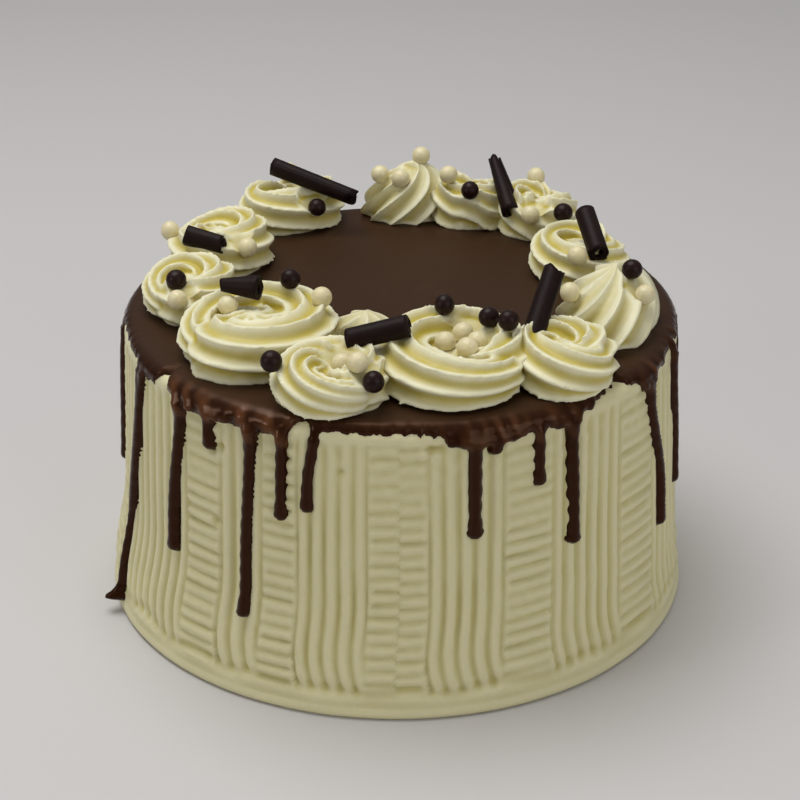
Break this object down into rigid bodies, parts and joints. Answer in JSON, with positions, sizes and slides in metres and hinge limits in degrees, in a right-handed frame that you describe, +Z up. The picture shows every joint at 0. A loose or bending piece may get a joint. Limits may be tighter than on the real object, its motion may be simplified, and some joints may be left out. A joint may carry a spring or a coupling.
{
  "type": "tuxedo cake",
  "caption": "Round cream-iced cake with a combed side, a dripping chocolate ganache top and a ring of piped cream swirls set with chocolate rolls and sugar pearls.",
  "frame": {"origin": "middle of the flat base, on the surface that the cake stands on", "axes": "+Z up; the front of the cake, as in the picture, faces -Y; +X is to the right seen from the front"},
  "size_m": [0.2126, 0.212, 0.1378],
  "materials": {
    "cream": "soft satin cream icing, combed",
    "piped_cream": "soft satin piped cream",
    "ganache": "set chocolate ganache, satin on top and glossy in its drips",
    "chocolate": "dark chocolate rolls with a soft sheen",
    "dark_pearl": "dark chocolate pearls with a soft sheen",
    "cream_pearl": "cream-coloured sugar pearls"
  },
  "bodies": {
    "root": {"cake_body": "cream", "ganache": "ganache", "swirl_01": "piped_cream", "swirl_02": "piped_cream", "swirl_03": "piped_cream", "swirl_04": "piped_cream", "swirl_05": "piped_cream", "swirl_06": "piped_cream", "swirl_07": "piped_cream", "swirl_08": "piped_cream", "swirl_09": "piped_cream", "swirl_10": "piped_cream", "swirl_11": "piped_cream", "swirl_12": "piped_cream", "swirl_13": "piped_cream", "roll_01": "chocolate", "roll_02": "chocolate", "roll_03": "chocolate", "roll_04": "chocolate", "roll_05": "chocolate", "roll_06": "chocolate", "roll_07": "chocolate", "dark_pearl_01": "dark_pearl", "dark_pearl_02": "dark_pearl", "dark_pearl_03": "dark_pearl", "dark_pearl_04": "dark_pearl", "dark_pearl_05": "dark_pearl", "dark_pearl_06": "dark_pearl", "dark_pearl_07": "dark_pearl", "dark_pearl_08": "dark_pearl", "dark_pearl_09": "dark_pearl", "dark_pearl_10": "dark_pearl", "dark_pearl_11": "dark_pearl", "cream_pearl_01": "cream_pearl", "cream_pearl_02": "cream_pearl", "cream_pearl_03": "cream_pearl", "cream_pearl_04": "cream_pearl", "cream_pearl_05": "cream_pearl", "cream_pearl_06": "cream_pearl", "cream_pearl_07": "cream_pearl", "cream_pearl_08": "cream_pearl", "cream_pearl_09": "cream_pearl", "cream_pearl_10": "cream_pearl", "cream_pearl_11": "cream_pearl", "cream_pearl_12": "cream_pearl", "cream_pearl_13": "cream_pearl", "cream_pearl_14": "cream_pearl", "cream_pearl_15": "cream_pearl", "cream_pearl_16": "cream_pearl", "cream_pearl_17": "cream_pearl", "cream_pearl_18": "cream_pearl", "cream_pearl_19": "cream_pearl", "cream_pearl_20": "cream_pearl", "cream_pearl_21": "cream_pearl"}
  },
  "joints": []
}
